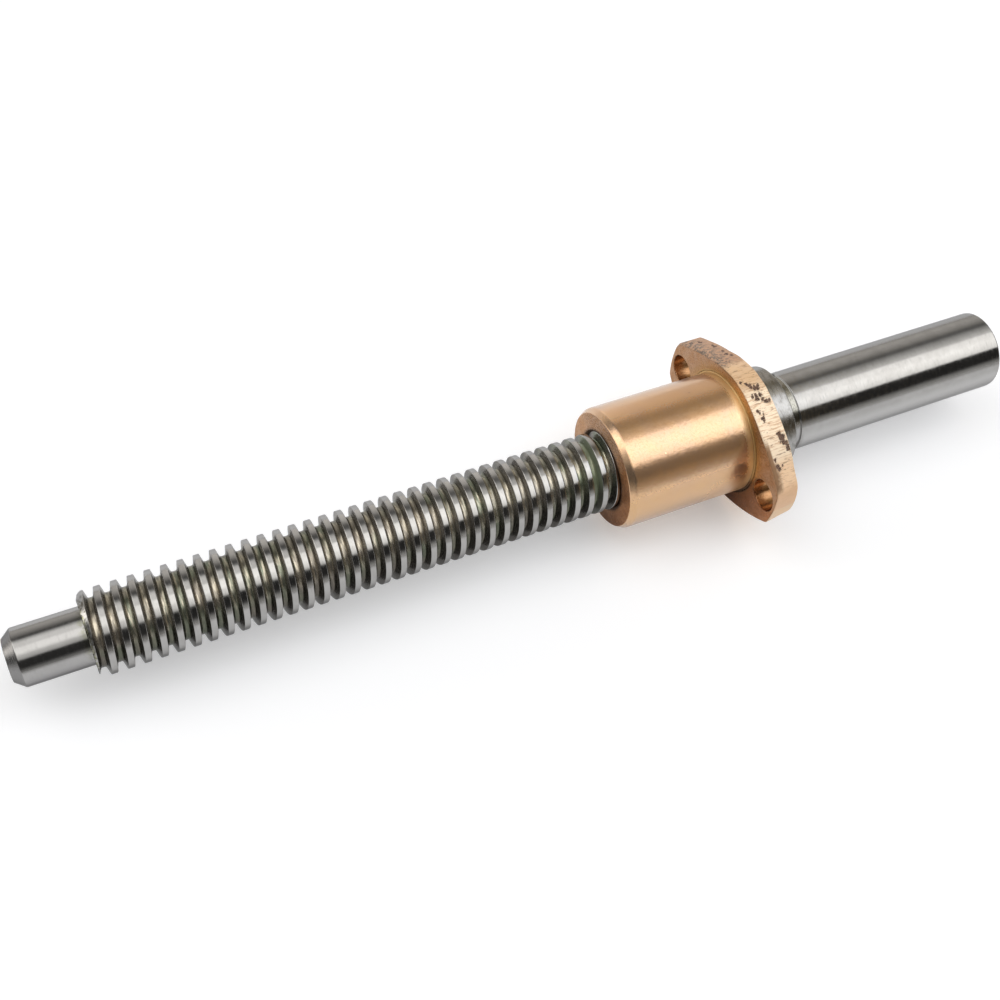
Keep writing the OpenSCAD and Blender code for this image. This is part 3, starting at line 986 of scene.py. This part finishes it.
# ---------------------------------------------------------------- light
# Brightness of the studio across the screw's axis, from the near horizon (0 degrees) over the top
# to the far one (180), with a tint where the light isn't white. Each list is for the directions
# that the part in its name mirrors towards the camera. LEFT and RIGHT are for steeper faces.
WHITE, SOFT, WARM, DEEP, COOL = (1, 1, 1), (1, .87, .68), (1, .77, .44), (1, .75, .28), (1, 1.05, 1.17)
LIGHT_LEFT = [
    (0, .26), (20, .2), (80, .2), (108, .3), (122, .8), (135, 2.4), (148, 3.0), (157, 2.4), (166, .8),
    (180, .6)]
LIGHT_JOURNAL = [
    (0, .42), (7, .3), (13, .13), (19, .05), (43, .05), (47, .2), (50, .75), (56, .95), (64, 1.2),
    (70, 1.75), (76, 2.0), (92, 1.95), (97, 1.55), (110, 1.5), (116, 1.2), (121, .8), (127, .2),
    (133, .14), (140, .3), (150, .52), (165, .78), (180, .78)]
LIGHT_START = [
    (0, .62), (6, .45), (12, .22), (17, .06), (22, .035), (42, .03), (46, .15), (50, .95), (56, 1.55),
    (64, 1.8), (72, 2.35), (80, 2.2), (91, 2.2), (94, 1.35), (98, 1.25), (106, 1.35), (114, 1.1),
    (118, .5), (122, .15), (129, .12), (137, .3), (144, .56), (152, .8), (160, .95), (168, 1.05),
    (180, 1.2)]
LIGHT_THREAD = [
    (0, .68), (6, .5), (12, .22), (17, .07), (22, .04), (41, .04), (44, .3), (48, 1.55), (56, 1.95),
    (64, 2.2), (72, 2.42), (80, 2.35), (91, 2.2), (94, 1.2), (98, 1.0), (104, .92), (112, .62),
    (117, .38), (122, .24), (130, .24), (137, .42), (144, .72), (152, .92), (160, 1.05), (168, 1.15),
    (180, 1.3)]
LIGHT_BARREL = [
    (0, .42, SOFT), (9, .36, WARM), (17, .36, WARM), (24, .25, WARM), (42, .26, WARM), (46, .5, WARM),
    (49, 1.5, COOL), (56, 1.72, COOL), (65, 1.87, COOL), (73, 1.95, COOL), (80, 1.9, COOL),
    (88, 1.8, COOL), (96, 1.55, COOL), (98.5, .72, DEEP), (104, .51, DEEP), (111, .42, DEEP),
    (119, .35, DEEP), (128, .33, DEEP), (137, .45, WARM), (146, .62, SOFT), (157, .66, SOFT),
    (170, .70, SOFT), (180, .75, SOFT)]
LIGHT_SHANK = [
    (0, .56), (6, .42), (11, .2), (15, .06), (18, .035), (40, .035), (44.5, .07), (47.5, 1.75),
    (54, 2.0), (62, 2.25), (71, 2.4), (80, 2.2), (89, 2.1), (93.5, 1.9), (96, 1.25), (106, .88),
    (116, .56), (125, .21), (131, .23), (137, .39), (148, .62), (161, .82), (180, .80)]
LIGHT_RIGHT = [(0, .4), (20, .3), (60, .6), (120, .6), (150, .5), (180, .6)]
LIGHT_CHAMFER = [
    (0, .42), (13, .13), (19, .05), (43, .05), (50, .16), (60, .42), (70, .6), (78, .9), (84, 1.6),
    (90, 2.1), (112, 2.3), (120, 1.9), (127, 1.1), (133, .3), (142, .2), (156, .52), (165, .7),
    (180, .7)]
TOP = 3.2                                    # the brightest value that the ramps can hold
# Each list takes over from the ones before between two values of the direction's x. The last
# value says whether it does so smoothly.
ZONES = [(LIGHT_START, -0.03, 0.09, False), (LIGHT_THREAD, 0.09, 0.28, False),
         (LIGHT_BARREL, 0.376, 0.392, False), (LIGHT_SHANK, 0.475, 0.495, False),
         (LIGHT_RIGHT, 0.74, 0.86, True), (LIGHT_CHAMFER, -0.20, -0.34, True),
         (LIGHT_LEFT, -0.62, -0.8, True)]


def ramp(n, value, stops):
    """The list as a colour ramp over the half turn."""
    node = n.add("ShaderNodeValToRGB")
    n.link(value, node.inputs[0])
    points = node.color_ramp.elements
    while len(points) < len(stops):
        points.new(1.0)
    for p, (at, light, *tint) in zip(points, stops):
        p.position = at / 180
        p.color = (*(light / TOP * c for c in (tint[0] if tint else WHITE)), 1)
    return node.outputs[0]


def make_light():
    """A long soft box overhead with a dark gap under its front edge and a dimmer panel behind it."""
    world = bpy.data.worlds.new("studio")
    bpy.context.scene.world = world
    world.use_nodes = True
    world.node_tree.nodes.clear()
    n = Nodes(world.node_tree)
    way = n.add("ShaderNodeSeparateXYZ")
    n.link(n.add("ShaderNodeTexCoord").outputs["Generated"], way.inputs[0])
    x, y, z = way.outputs
    height = n.over(n.math("ARCTAN2", z, n.mul(y, -1.0)), math.pi)
    light = ramp(n, height, LIGHT_JOURNAL)
    for stops, before, after, smooth in ZONES:
        light = n.mix(n.range(x, before, after, smooth=smooth), light, ramp(n, height, stops))
    warmth = n.mix(n.range(height, 0.7, 0.76), (1.0, 0.985, 0.955), (1.0, 0.955, 0.90))
    studio = n.add("ShaderNodeBackground")
    n.link(n.mix(1.0, light, warmth, "MULTIPLY"), studio.inputs[0])
    studio.inputs[1].default_value = TOP
    plain = n.add("ShaderNodeBackground")
    plain.inputs[0].default_value = (0.95, 0.95, 0.95, 1)
    either = n.add("ShaderNodeMixShader")
    n.link(n.add("ShaderNodeLightPath").outputs["Is Camera Ray"], either.inputs[0])
    n.link(studio.outputs[0], either.inputs[1])
    n.link(plain.outputs[0], either.inputs[2])
    n.link(either.outputs[0], n.add("ShaderNodeOutputWorld").inputs[0])


make_light()


# ---------------------------------------------------------------- camera
CAMERA_AT = (-0.08805, -0.12585, 0.22935)    # metres
CAMERA_TURN = (34.358, -5.162, -24.202)      # degrees about X, Y and Z
LENS = 48.461                                # focal length in millimetres


def make_camera():
    data = bpy.data.cameras.new("camera")
    camera = bpy.data.objects.new("camera", data)
    bpy.context.scene.collection.objects.link(camera)
    turn = Euler([math.radians(a) for a in CAMERA_TURN]).to_matrix().to_4x4()
    camera.matrix_world = Matrix.Translation(CAMERA_AT) @ turn
    data.sensor_width = 36
    data.lens = LENS
    data.clip_start = 0.01
    data.clip_end = 50
    bpy.context.scene.camera = camera


make_camera()
bpy.context.scene.view_settings.view_transform = "Standard"
